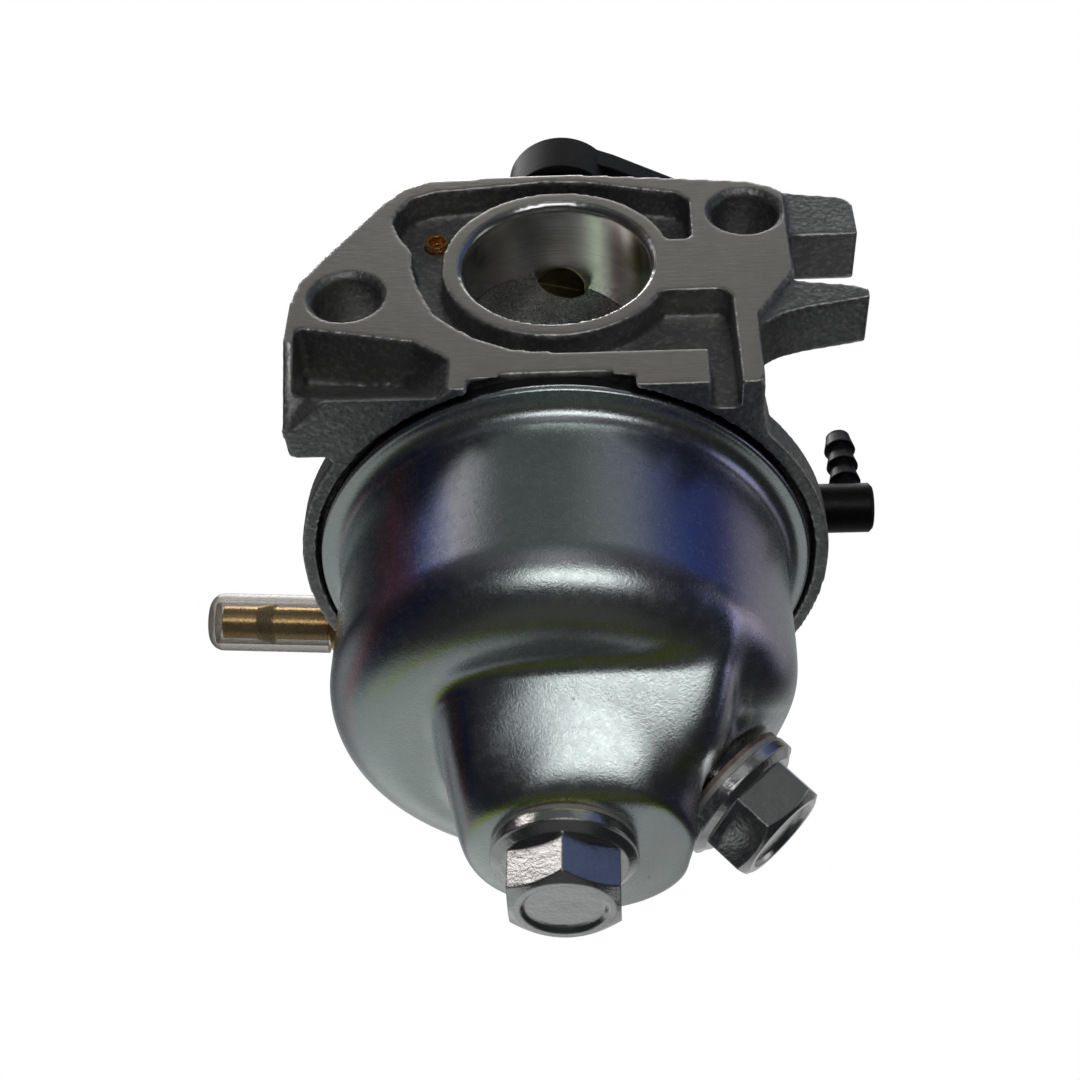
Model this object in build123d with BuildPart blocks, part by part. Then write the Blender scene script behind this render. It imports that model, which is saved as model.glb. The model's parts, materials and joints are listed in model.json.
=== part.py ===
from build123d import *
from math import cos, sin, radians
import os

# Float-bowl carburetor for a small four-stroke engine. Millimetres, +Z up.
# Origin: bore axis where it meets the machined air-side face. +Y runs along
# the bore towards the engine, +X to the right seen from the air side.
# "Front" means the air side (-Y).

os.makedirs("parts", exist_ok=True)

# ---------------------------------------------------------------- dimensions
# body
body_len = 48.0            # air-side face to engine-side face
slab_t = 8.5               # air-side flange thickness
lug_front = 0.6            # set-back of the two right-hand lugs from the face
lug_back = 6.5             # rear of the lugs
engine_flange_t = 7.0
barrel_r = 13.6
stud_l = (-20.85, -4.72)   # left stud hole (X, Z)
stud_r = (19.36, 7.39)     # right stud hole (X, Z), 42 mm from the left one
stud_hole_r = 3.4          # clearance for M6 studs
stud_boss_r = 5.6
stud_chamfer = 0.6
bore_r = 9.4               # intake bore
bore_ring_r = 11.65        # ring left standing round the bore in the recess
recess_depth = 3.3
throat_r = 7.0             # venturi throat
throttle_r = 9.5           # bore at the throttle plate

# shafts
choke_y = 10.9             # choke shaft position along the bore
throttle_y = 38.0          # throttle shaft position along the bore
choke_rest = 15.0          # tilt of the closed choke plate, degrees
throttle_rest = -10.0      # tilt of the closed throttle plate, degrees
shaft_r = 2.5
shaft_bottom = -12.5
shaft_boss_r = 5.2
shaft_boss_base = 5.0
choke_boss_top = 23.3
throttle_boss_top = 17.0
seal_pocket_depth = 2.0
flats_w = 3.8              # across the flats at the top of each shaft
flats_fit = 0.06           # extra width in the levers

# rim and float bowl
bowl_y = 25.2              # bowl axis
bowl_at = (0, bowl_y)
rim_z = -18.9              # underside of the body rim
rim_r = 27.2
rim_t = 3.4                # height of the full-width rim band
crown_r = 24.3             # body above the rim band
crown_h = 7.4              # height of the crown above rim_z
lip_z = -19.4              # underside of the bowl lip
lip_r = 25.2
lip_t = 1.0
gasket_top = -17.0
bowl_r = 22.7
sheet_t = 0.9
shelf_z = -42.2            # inner step of the bowl floor
sump_z = -52.0             # outer bottom of the sump
knob_at = (1.6, 27.7)      # centre of the round bottom of the sump
knob_r = 10.6              # its radius at the very bottom
bolt_hole_r = 3.15
post_r = 5.0               # central post under the throat

# drain bolt
drain_az = 15.0            # direction seen from above, degrees
drain_tilt = 46.0          # tilt from straight down, degrees
drain_seat = Vector(15.3, 29.6, -43.2)
drain_dir = Vector(
    sin(radians(drain_tilt)) * cos(radians(drain_az)),
    sin(radians(drain_tilt)) * sin(radians(drain_az)),
    -cos(radians(drain_tilt)),
)

# fittings: places are (Y, Z) on planes across X, (X, Z) on planes across Y,
# and (X, Y) on level planes
inlet_y = 38.6
inlet_at = (inlet_y, -14.65)
inlet_face_x = -25.2       # outer end of the fuel inlet boss
vent_y = 24.0
vent_z = -12.4
vent_at = (vent_y, vent_z)
pilot_jet_at = (9.0, 27.0)
pilot_air_at = (-12.7, 7.4)
mixture_at = (32.0, 5.0)
mixture_face_x = -16.5     # outer end of the mixture screw boss
idle_x = -9.5
idle_z = 17.3
idle_tip_y = 33.4          # end of the idle screw, against the throttle lever
bracket_y = 29.6           # middle of the idle screw bracket
bracket_t = 6.4
plug_at = (35.0, -8.0)     # expansion plug
float_pin_y = 42.8
float_pin_z = -22.6
float_pin_at = (float_pin_y, float_pin_z)


# ------------------------------------------------------------ shared helpers
def at_x(x):
    """Plane facing +X; sketch axes Y and Z."""
    return Plane.YZ.offset(x)


def at_y(y):
    """Plane across the bore facing -Y; sketch axes X and Z."""
    return Plane.XZ.offset(-y)


def at_z(z):
    """Level plane facing +Z; sketch axes X and Y."""
    return Plane.XY.offset(z)


def round_bar(plane, radius, length, *places, taper=0.0, hole=None):
    """Round bars or rings on a plane; a negative length runs against its normal."""
    with BuildPart() as bars:
        with BuildSketch(plane):
            with Locations(*(places or [(0, 0)])):
                Circle(radius)
                if hole:
                    Circle(hole, mode=Mode.SUBTRACT)
        extrude(amount=length, taper=taper)
    return bars.part


def prism(plane, outline, length):
    """Closed outline on a plane, extruded."""
    with BuildPart() as block:
        with BuildSketch(plane):
            with BuildLine():
                Polyline(*outline, close=True)
            make_face()
        extrude(amount=length)
    return block.part


def save(name, part):
    part.label = name
    export_step(part, f"parts/{name}.step")


# ---------------------------------------------------------------- float bowl
def half_space(origin, normal):
    """Block standing on a plane, on the side its normal points to."""
    with BuildPart() as block:
        with BuildSketch(Plane(origin=origin, z_dir=normal)):
            Rectangle(90, 90)
        extrude(amount=60)
    return block.part


def drain_flat(origin):
    """Cut for the drain bolt flat, ending in a sloping wall on its engine side."""
    across = Vector(-sin(radians(drain_az)), cos(radians(drain_az)), 0)
    with BuildPart() as block:
        with BuildSketch(Plane(origin=origin, x_dir=across, z_dir=drain_dir)):
            with Locations((-36.4, 0)):
                Rectangle(90, 90)
        extrude(amount=30, taper=-38)
    return block.part


def bowl_solid(inset):
    """Solid bowl form, drawn in by inset: drum, sump, front facet, drain bolt flat."""
    front_n = Vector(0, -0.82, -0.572)
    front_p = Vector(0, 11.0, shelf_z) - front_n * inset
    seat_p = drain_seat - drain_dir * inset
    with BuildPart() as sump:
        with BuildSketch(at_z(shelf_z + 1.0)) as plan:
            with BuildLine():
                Polyline(
                    (-2.0 + inset * 0.5, 8.0),
                    (-12.6 + inset, 15.6 + inset * 0.4),
                    (-12.2 + inset, 27.0),
                    (-10.6 + inset, 30.4 - inset * 0.3),
                    (-7.4 + inset * 0.5, 35.6 - inset),
                    (6.2, 35.6 - inset),
                    (13.0 - inset * 0.6, 31.8 - inset * 0.8),
                    (17.2 - inset, 27.5),
                    (17.2 - inset, 8.0),
                    close=True,
                )
            make_face()
            fillet(plan.vertices().group_by(Axis.Y)[1:], 2.0)
        extrude(amount=-(shelf_z + 1.0 - sump_z - inset), taper=11.0)
        add(half_space(front_p, front_n), mode=Mode.SUBTRACT)
        # stay inside the drum
        add(round_bar(at_z(-60), bowl_r - 0.6 - inset, 30, bowl_at), mode=Mode.INTERSECT)
        fillet(sump.faces().sort_by(Axis.Z)[0].edges(), 0.7 - inset * 0.3)
    with BuildPart() as knob:
        add(round_bar(at_z(sump_z + inset), knob_r - inset, 11.0 - inset, knob_at, taper=-12))
        fillet(knob.edges().group_by(Axis.Z)[0], 1.6 - inset * 0.5)
        add(half_space(front_p, front_n), mode=Mode.SUBTRACT)
    with BuildPart() as form:
        floor_z = shelf_z + inset
        add(round_bar(at_z(floor_z), bowl_r - inset, lip_z - 0.5 - floor_z, bowl_at))
        fillet(form.edges().group_by(Axis.Z)[0], 6.4 - inset)
        add(sump.part)
        # pad pressed out round the drain bolt
        pad_plane = Plane(origin=seat_p + drain_dir * 0.5, z_dir=-drain_dir)
        add(round_bar(pad_plane, 7.8 - inset, 7.5))
        add(drain_flat(seat_p), mode=Mode.SUBTRACT)
        # round bottom of the sump, let in only round the drain bolt
        add(knob.part)
        seat_plane = Plane(origin=seat_p, z_dir=drain_dir)
        add(round_bar(seat_plane, 8.0 + inset, 20.0), mode=Mode.SUBTRACT)
    return form.part


bowl_inner_r = bowl_r - sheet_t
with BuildPart() as float_bowl:
    add(bowl_solid(0.0))
    # turned-out lip with a sloping corner underneath
    with BuildSketch(Plane.YZ):
        with BuildLine():
            Polyline(
                (bowl_y + bowl_inner_r, lip_z + lip_t),
                (bowl_y + lip_r, lip_z + lip_t),
                (bowl_y + lip_r, lip_z),
                (bowl_y + bowl_r + 1.2, lip_z),
                (bowl_y + bowl_r + 0.35, lip_z - 0.35),
                (bowl_y + bowl_r, lip_z - 1.2),
                (bowl_y + bowl_inner_r, lip_z - 1.2),
                close=True,
            )
        make_face()
    revolve(axis=Axis((0, bowl_y, 0), (0, 0, 1)))
    add(bowl_solid(sheet_t), mode=Mode.SUBTRACT)
    # open mouth
    add(round_bar(at_z(lip_z - 2.0), bowl_inner_r, 6, bowl_at), mode=Mode.SUBTRACT)
    # holes for the bowl bolt and the drain bolt
    add(round_bar(at_z(sump_z - 2), bolt_hole_r, 6, bowl_at), mode=Mode.SUBTRACT)
    drain_hole_plane = Plane(origin=drain_seat + drain_dir * 2, z_dir=-drain_dir)
    add(round_bar(drain_hole_plane, bolt_hole_r, 6), mode=Mode.SUBTRACT)
save("float_bowl", float_bowl.part)

# ----------------------------------------------------------- carburetor body
# air-side flange (X, Z)
face_outline = [
    (-26.4, rim_z), (-26.4, -5.2), (-25.9, -2.2), (-23.6, 2.0), (-18.5, 10.6),
    (-16.3, 13.3), (-14.0, 14.4), (-4.9, 14.9), (1.0, 14.9), (12.9, 13.6),
    (19.9, 12.7), (22.3, 11.7), (23.7, 10.4), (23.5, 4.0), (23.7, -2.4),
    (19.5, -9.4), (19.5, rim_z),
]

# cast recess in the air-side face (X, Z)
recess_outline = [
    (-17.0, 7.3), (-16.6, 9.3), (-15.3, 11.3), (-13.0, 12.3), (-4.9, 13.1),
    (-1.4, 13.6), (3.3, 13.2), (9.1, 11.6), (12.6, 10.8), (13.7, 9.4),
    (13.6, 3.2), (6.0, 3.2), (6.0, -5.2), (16.3, -5.2), (17.1, -6.0),
    (17.3, rim_z - 1.0), (14.6, rim_z - 1.0), (14.6, -13.9), (5.5, -13.9),
    (0.4, -13.9), (-4.3, -13.3), (-7.7, -11.6), (-10.4, -9.3), (-12.0, -7.6),
    (-13.7, -3.5), (-14.5, -0.5), (-14.6, 2.0), (-16.1, 4.8),
]

# right-hand lugs (X, Z)
upper_lug = [
    (20, 11.9), (23.0, 11.4), (29.7, 10.1), (30.6, 8.9), (30.6, 3.7), (24.6, 3.7), (20, 3.7),
]
lower_lug = [
    (20, -2.6), (23.7, -3.4), (29.4, -4.4), (30.8, -5.2), (30.6, -6.4), (24.4, -7.7),
    (22.0, -8.5), (19.0, -10.6), (17, -10),
]

# web that joins the flange to the rim (X, Y)
web_outline = [
    (-26.4, 0.5), (-26.4, 8.5), (-22.5, 8.5), (-21.5, 11), (21.0, 11), (19.5, 4), (19.5, 0.5),
]

# hollow under the left stud hole: side view (Y, Z), plan (X, Y), front view (X, Z)
pocket_side = [
    (-1, -6), (7.0, -6), (6.7, -10.6), (0.9, rim_z - 0.2), (-1, rim_z - 0.2),
]
pocket_plan = [(-25.4, -1), (-25.4, 7.2), (-16.6, 7.2), (-10.1, 0.0), (-10.1, -1)]
pocket_front = [
    (-25.4, -9.4), (-20.8, -10.4), (-13.7, -12.0), (-10.0, -14.8), (-10.0, -21), (-25.4, -21),
]
with BuildPart() as left_pocket:
    add(prism(at_x(-27), pocket_side, 19))
    add(prism(at_z(-25), pocket_plan, 30), mode=Mode.INTERSECT)
    add(prism(at_y(-2), pocket_front, -12), mode=Mode.INTERSECT)

# cut that makes the front of the thin left wall lean back towards the underside:
# wall side view (Y, Z), plan (X, Y), limit in side view (Y, Z)
wall_side = [(-1, -11.5), (0, -11.5), (4.7, rim_z - 0.2), (-1, rim_z - 0.2)]
wall_plan = [(-28, -1), (-21.6, -1), (-21.6, 1.0), (-25.5, 4.6), (-28, 4.9)]
wall_limit = [
    (-1, -11.5), (0, -11.5), (4.9, rim_z + 0.5), (4.9, rim_z - 1), (-1, rim_z - 1),
]
with BuildPart() as left_corner:
    add(prism(at_x(-28), wall_side, 2.7))
    add(prism(at_z(-24), wall_plan, 12.5))
    add(prism(at_x(-29), wall_limit, 9), mode=Mode.INTERSECT)

# float hinge post (Y, Z)
hinge_outline = [(40.2, -16.5), (44.8, -16.5), (44.5, -24.4), (41.1, -24.4)]
hinge_post_t = 3.0
hinge_gap = 4.9            # inner face of each post from the middle

choke_boss_h = choke_boss_top - shaft_boss_base
throttle_boss_h = throttle_boss_top - shaft_boss_base
# plane, radius, length, place
round_bosses = [
    # choke and throttle shafts
    (at_z(shaft_boss_base), shaft_boss_r, choke_boss_h, (0, choke_y)),
    (at_z(shaft_boss_base), shaft_boss_r, throttle_boss_h, (0, throttle_y)),
    # pilot jet, mixture screw
    (at_z(4), 4.4, 10.0, pilot_jet_at),
    (at_x(mixture_face_x), 4.2, 10, mixture_at),
    # vent, fuel inlet
    (at_x(16), 3.1, 9.6, vent_at),
    (at_x(inlet_face_x), 3.3, 18, inlet_at),
    # central post with the jet bore
    (at_z(sump_z + sheet_t + 0.1), post_r, 40, bowl_at),
]

# plane, radius, length, places
round_cuts = [
    # stud holes through both flanges
    (at_y(-1), stud_hole_r, -(body_len + 2), stud_l, stud_r),
    # shaft holes
    (at_z(shaft_bottom - 0.1), shaft_r + 0.05, 45, (0, choke_y), (0, throttle_y)),
    # seal pockets at the top of both shaft bosses
    (at_z(choke_boss_top - seal_pocket_depth), 4.0, 5, (0, choke_y)),
    (at_z(throttle_boss_top - seal_pocket_depth), 4.0, 5, (0, throttle_y)),
    # central passage: bowl bolt hole, main jet seat, emulsion tube bore
    (at_z(-53), 3.0, 11.0, bowl_at),
    (at_z(-43), 2.5, 8.0, bowl_at),
    (at_z(-36), 1.9, 32, bowl_at),
    # fuel holes in the side of the post
    (at_x(-7), 1.0, 14, (bowl_y, -40.5)),
    # needle seat bore, fuel passage, nipple spigot hole
    (at_z(rim_z - 1), 3.0, 5.2, (0, inlet_y)),
    (at_x(-19.5), 1.0, 19.5, inlet_at),
    (at_x(-26), 1.95, 7.0, inlet_at),
    # spot face for the nipple collar
    (at_x(inlet_face_x), 3.7, -8.0, inlet_at),
    # vent passage
    (at_x(17.0), 1.6, 9, vent_at),
    (at_z(-18), 1.0, 5.6, (17.6, vent_y)),
    # pilot air jet hole in the recess
    (at_y(3), 1.3, -5.5, pilot_air_at),
    # pilot jet, mixture screw and idle screw bores
    (at_z(8.6), 2.0, 12, pilot_jet_at),
    (at_x(mixture_face_x - 1), 1.55, 9.0, mixture_at),
    (at_y(25), 1.55, -12, (idle_x, idle_z)),
    # expansion plug seat
    (at_x(12.4), 2.6, 1.2, plug_at),
]

with BuildPart() as carb_body:
    # air-side flange
    with BuildSketch(Plane.XZ) as face_plan:
        with BuildLine():
            Polyline(*face_outline, close=True)
        make_face()
        fillet(face_plan.vertices(), 0.8)
    extrude(amount=-slab_t)
    # right-hand lugs
    with BuildSketch(at_y(lug_front)) as lug_plan:
        with BuildLine():
            Polyline(*upper_lug, close=True)
        make_face()
        with BuildLine():
            Polyline(*lower_lug, close=True)
        make_face()
        fillet(lug_plan.vertices().group_by(Axis.X)[-1], 0.35)
    extrude(amount=-(lug_back - lug_front))
    # barrel between the two faces
    add(round_bar(at_y(4), barrel_r, -(body_len - 8)))
    # engine-side flange
    with BuildSketch(at_y(body_len - engine_flange_t)):
        with Locations(stud_l, stud_r):
            Circle(stud_boss_r)
        Circle(barrel_r + 0.2)
        make_hull()
    extrude(amount=-engine_flange_t)
    # rim over the float bowl, and the crown on it
    add(round_bar(at_z(rim_z), rim_r, rim_t, bowl_at))
    add(round_bar(at_z(rim_z), crown_r, crown_h, bowl_at))
    # the rim stops flush with the machined face
    with BuildSketch(at_z(-30)):
        with Locations((0, -10)):
            Rectangle(80, 20)
    extrude(amount=40, mode=Mode.SUBTRACT)
    # saddle between the rim and the barrel
    with BuildSketch(at_z(rim_z + 1)):
        with Locations((0, 24.5)):
            RectangleRounded(25, 40, 3)
    extrude(amount=14)
    # web that joins the flange to the rim
    with BuildSketch(at_z(rim_z)) as web_plan:
        with BuildLine():
            Polyline(*web_outline, close=True)
        make_face()
        fillet(web_plan.vertices().group_by(Axis.X)[0].sort_by(Axis.Y)[-1:], 2.6)
    extrude(amount=crown_h)
    # idle screw bracket
    with BuildSketch(at_z(8.0)):
        with Locations((idle_x, bracket_y)):
            RectangleRounded(7, bracket_t, 1.5)
    extrude(amount=12.5)
    for plane, radius, length, place in round_bosses:
        add(round_bar(plane, radius, length, place))

    # bore: intake, choke chamber, throat, throttle bore
    with BuildSketch(Plane.YZ):
        with BuildLine():
            Polyline(
                (-1, 0), (-1, bore_r + 1.55), (0.0, bore_r + 0.55), (0.55, bore_r),
                (14.0, bore_r), (24.0, throat_r), (28.0, throat_r), (34.0, throttle_r),
                (body_len + 1, throttle_r), (body_len + 1, 0), close=True,
            )
        make_face()
    revolve(axis=Axis.Y, mode=Mode.SUBTRACT)
    # cast recess round the bore ring
    with BuildSketch(at_y(-1)) as recess_plan:
        with BuildLine():
            Polyline(*recess_outline, close=True)
        make_face()
        fillet(recess_plan.vertices(), 0.5)
        Circle(bore_ring_r, mode=Mode.SUBTRACT)
    extrude(amount=-(recess_depth + 1), mode=Mode.SUBTRACT)
    add(left_pocket.part, mode=Mode.SUBTRACT)
    add(left_corner.part, mode=Mode.SUBTRACT)
    # relief in the front of the flange above the bowl lip
    with BuildSketch(at_z(rim_z - 1)):
        with Locations((-0.35, 0.0)):
            Rectangle(15.7, 3.0)
    extrude(amount=2.45, mode=Mode.SUBTRACT)
    # counterbore that takes the gasket and the bowl lip
    add(
        round_bar(
            at_z(rim_z - 1), lip_r + 0.55, gasket_top - rim_z + 1, bowl_at, hole=bowl_r - 1.4
        ),
        mode=Mode.SUBTRACT,
    )
    # float chamber roof
    add(
        round_bar(
            at_z(rim_z - 0.5), bowl_r - 1.35, gasket_top - rim_z + 0.5, bowl_at,
            hole=post_r + 2.2,
        ),
        mode=Mode.SUBTRACT,
    )
    for plane, radius, length, *places in round_cuts:
        add(round_bar(plane, radius, length, *places), mode=Mode.SUBTRACT)
    # chamfer of the stud holes at the air side
    for stud in (stud_l, stud_r):
        add(
            round_bar(at_y(0), stud_hole_r + stud_chamfer, -stud_chamfer, stud, taper=45),
            mode=Mode.SUBTRACT,
        )
    # float hinge posts, one each side of the float arm
    for x in (-hinge_gap - hinge_post_t, hinge_gap):
        add(prism(at_x(x), hinge_outline, hinge_post_t))
    add(round_bar(at_x(-9), 1.02, 18, float_pin_at), mode=Mode.SUBTRACT)
save("carb_body", carb_body.part)

# --------------------------------------------------------------- bowl gasket
gasket_z = lip_z + lip_t
save("bowl_gasket", round_bar(
    at_z(gasket_z), lip_r - 0.5, gasket_top - gasket_z, bowl_at, hole=bowl_r - 1.2,
))

# -------------------------------------------- hex flange bolts and washers
washer_t = 1.0
flange_r = 6.75
washer_r = 6.6
bolt_head_h = 6.2


def hex_bolt(base, shank, hex_turn):
    """Flange bolt; the head stands on base, the shank runs against its normal."""
    with BuildPart() as crown:
        # cone that trims the corners of the hexagon
        with BuildSketch(base):
            Circle(10.2)
        extrude(amount=bolt_head_h)
        top_edge = crown.edges().filter_by(GeomType.CIRCLE).sort_by(
            Axis(base.origin, base.z_dir)
        )[-1]
        chamfer(top_edge, length=3.0, length2=5.65)
    with BuildPart() as bolt:
        with BuildSketch(base):
            RegularPolygon(radius=5.0, side_count=6, major_radius=False, rotation=hex_turn)
        extrude(amount=bolt_head_h)
        add(crown.part, mode=Mode.INTERSECT)
        # flange with a sloping top
        add(round_bar(base, flange_r, 1.15))
        add(round_bar(base.offset(1.15), 6.6, 0.6, taper=55))
        # dished end
        add(round_bar(base.offset(5.75), 3.55, 0.6, taper=-40), mode=Mode.SUBTRACT)
        # shank
        add(round_bar(base.offset(-shank), 2.95, shank + 0.2))
    return bolt.part


bowl_bolt_base = Plane(origin=(0, bowl_y, sump_z - washer_t), z_dir=(0, 0, -1))
drain_bolt_base = Plane(origin=drain_seat + drain_dir * washer_t, z_dir=drain_dir)
save("bowl_bolt", hex_bolt(bowl_bolt_base, shank=9.5, hex_turn=30.0))
save("drain_bolt", hex_bolt(drain_bolt_base, shank=7.4, hex_turn=0.0))
save("bowl_bolt_washer", round_bar(bowl_bolt_base, washer_r, -washer_t, hole=3.1))
save("drain_bolt_washer", round_bar(drain_bolt_base, washer_r, -washer_t, hole=3.1))

# round boss inside the bowl for the drain bolt
drain_boss_base = Plane(origin=drain_seat - drain_dir * sheet_t, z_dir=-drain_dir)
save("drain_boss", round_bar(drain_boss_base, 3.9, 3.2, hole=3.0))

# ---------------------------------------------------------------------- jets
main_jet_z = -41.6
with BuildPart() as main_jet:
    add(round_bar(at_z(main_jet_z), 2.45, 5.0, bowl_at))
    # screwdriver slot, then the orifice
    with BuildSketch(at_z(main_jet_z)):
        with Locations(bowl_at):
            Rectangle(6, 0.8)
    extrude(amount=1.0, mode=Mode.SUBTRACT)
    add(round_bar(at_z(-42), 0.4, 6, bowl_at), mode=Mode.SUBTRACT)
save("main_jet", main_jet.part)

with BuildPart() as emulsion_tube:
    add(round_bar(at_z(-36.4), 1.85, 33.4, bowl_at, hole=1.0))
    # rows of emulsion holes
    emulsion_holes = [(bowl_y, z) for z in (-30.0, -26.0, -22.0)]
    add(round_bar(at_x(-3), 0.35, 6, *emulsion_holes), mode=Mode.SUBTRACT)
save("emulsion_tube", emulsion_tube.part)

with BuildPart() as pilot_jet:
    add(round_bar(at_z(9.0), 1.95, 5.0, pilot_jet_at))
    add(round_bar(at_z(14.0), 3.9, 2.4, pilot_jet_at))
    chamfer(pilot_jet.faces().sort_by(Axis.Z)[-1].edges(), 0.5)
    with BuildSketch(at_z(15.4)):
        with Locations(pilot_jet_at):
            Rectangle(5.2, 1.0)
    extrude(amount=2, mode=Mode.SUBTRACT)
save("pilot_jet", pilot_jet.part)

pilot_air_y = 2.7          # front of the pilot air jet
with BuildPart() as pilot_air_jet:
    add(round_bar(at_y(pilot_air_y), 1.25, -5.0, pilot_air_at))
    # funnel mouth, then the orifice
    add(round_bar(at_y(pilot_air_y), 0.85, -0.7, pilot_air_at, taper=25), mode=Mode.SUBTRACT)
    add(round_bar(at_y(2.0), 0.4, -7, pilot_air_at), mode=Mode.SUBTRACT)
save("pilot_air_jet", pilot_air_jet.part)

# --------------------------------------------------------- fuel inlet nipple
nipple_turn = radians(4)   # stem turned towards the air side
nipple_dir = Vector(-cos(nipple_turn), -sin(nipple_turn), 0)
nipple_root = Vector(-25.0, *inlet_at)
stem = Plane(origin=nipple_root, z_dir=nipple_dir)
nipple_hole_r = 0.95
with BuildPart() as fuel_inlet_nipple:
    # pressed spigot, and the collar against the boss
    add(round_bar(at_x(inlet_face_x), 1.9, 5.4, inlet_at))
    add(round_bar(at_x(inlet_face_x - 0.05), 2.9, -1.2, inlet_at))
    # hose stem with one barb
    add(round_bar(stem, 1.8, 13.6))
    add(round_bar(stem.offset(8.0), 2.35, 1.8, taper=14))
    # fuel passage
    add(round_bar(stem.offset(15), nipple_hole_r, -16), mode=Mode.SUBTRACT)
    add(round_bar(at_x(-26), nipple_hole_r, 8, inlet_at), mode=Mode.SUBTRACT)
save("fuel_inlet_nipple", fuel_inlet_nipple.part)

# thin cap pushed over the stem
with BuildPart() as nipple_cap:
    add(round_bar(stem.offset(1.75), 3.2, 13.4))
    cap_edges = nipple_cap.edges().filter_by(GeomType.CIRCLE)
    fillet(cap_edges.sort_by(Axis(nipple_root, nipple_dir))[-1], 1.6)
    add(round_bar(stem.offset(1.0), 2.42, 13.3), mode=Mode.SUBTRACT)
save("nipple_cap", nipple_cap.part)

# ---------------------------------------------------------------- vent elbow
vent_pipe_at = (29.9, vent_y)
with BuildPart() as vent_elbow:
    # spigot and round block
    add(round_bar(at_x(19.5), 1.55, 6.2, vent_at))
    add(round_bar(at_x(25.65), 2.6, 6.6, vent_at))
    chamfer(vent_elbow.faces().sort_by(Axis.X)[-1].edges(), 0.35)
    # upright pipe with three barbs
    add(round_bar(at_z(vent_z), 1.3, 10.6, vent_pipe_at))
    for rise, height in ((3.7, 1.6), (6.1, 1.6), (8.6, 1.8)):
        add(round_bar(at_z(vent_z + rise), 1.68, height, vent_pipe_at, taper=12))
    # air passage
    add(round_bar(at_z(vent_z), 0.7, 14, vent_pipe_at), mode=Mode.SUBTRACT)
    add(round_bar(at_x(19), 0.8, 11.5, vent_at), mode=Mode.SUBTRACT)
save("vent_elbow", vent_elbow.part)

# ---------------------------------------------- shared choke and throttle forms
plate_t = 0.9
plate_edge_gap = 0.06


def plate_plane(y, tilt):
    """Plane of a closed plate, facing the air side; sketch Y is +Z."""
    turn = radians(tilt)
    return Plane(
        origin=(0, y, 0), x_dir=(cos(turn), sin(turn), 0), z_dir=(sin(turn), -cos(turn), 0)
    )


def plate_shaft(plate, top, flat_half, tap_r, taps, drive_z):
    """Shaft with a flat for the plate, tapped holes and two flats for its lever."""
    y = plate.origin.Y
    with BuildPart() as shaft:
        add(round_bar(at_z(shaft_bottom), shaft_r, top - shaft_bottom, (0, y)))
        with BuildSketch(Plane(origin=(0, y, -flat_half), x_dir=plate.x_dir, z_dir=(0, 0, 1))):
            with Locations((0, -2.5)):
                Rectangle(8, 5.0)
        extrude(amount=2 * flat_half, mode=Mode.SUBTRACT)
        add(round_bar(plate.offset(3), tap_r, -6, *taps), mode=Mode.SUBTRACT)
        with BuildSketch(at_z(drive_z)):
            with Locations((0, y)):
                Circle(3.2)
                Rectangle(10, flats_w, mode=Mode.SUBTRACT)
        extrude(amount=6, mode=Mode.SUBTRACT)
    return shaft.part


def plate_blank(plate, bore):
    """Sheet on the shaft flat, trimmed to the bore."""
    with BuildPart() as blank:
        with BuildSketch(plate.offset(0.02)):
            Rectangle(26, 26)
        extrude(amount=plate_t)
        add(
            round_bar(at_y(plate.origin.Y - 10), bore - plate_edge_gap, -20),
            mode=Mode.INTERSECT,
        )
    return blank.part


def shaft_seal(boss_top, y):
    """Ring in the seal pocket of a shaft boss."""
    return round_bar(at_z(boss_top - seal_pocket_depth + 0.05), 3.95, 1.7, (0, y), hole=2.56)


# --------------------------------------------------------------------- choke
choke = plate_plane(choke_y, choke_rest)
save("choke_shaft", plate_shaft(
    choke, top=29.2, flat_half=9.5, tap_r=1.25, taps=[(0, 0)], drive_z=24.5,
))

with BuildPart() as choke_plate:
    add(plate_blank(choke, bore_r))
    # relief at the top edge and the screw hole
    add(round_bar(choke.offset(3), 2.9, -6, (0, 9.5)), mode=Mode.SUBTRACT)
    add(round_bar(choke.offset(3), 1.3, -6), mode=Mode.SUBTRACT)
save("choke_plate", choke_plate.part)

with BuildPart() as choke_screw:
    add(round_bar(choke.offset(0.95), 2.2, 1.3))
    screw_faces = choke_screw.faces().sort_by(Axis(choke.origin, choke.z_dir))
    fillet(screw_faces[-1].edges(), 0.6)
    # cross recess, then the shank
    with BuildSketch(choke.offset(2.3)):
        Rectangle(2.6, 0.6)
        Rectangle(0.6, 2.6)
    extrude(amount=-0.7, mode=Mode.SUBTRACT)
    add(round_bar(choke.offset(1.0), 1.2, -3.2))
save("choke_screw", choke_screw.part)

save("choke_seal", shaft_seal(choke_boss_top, choke_y))

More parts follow.
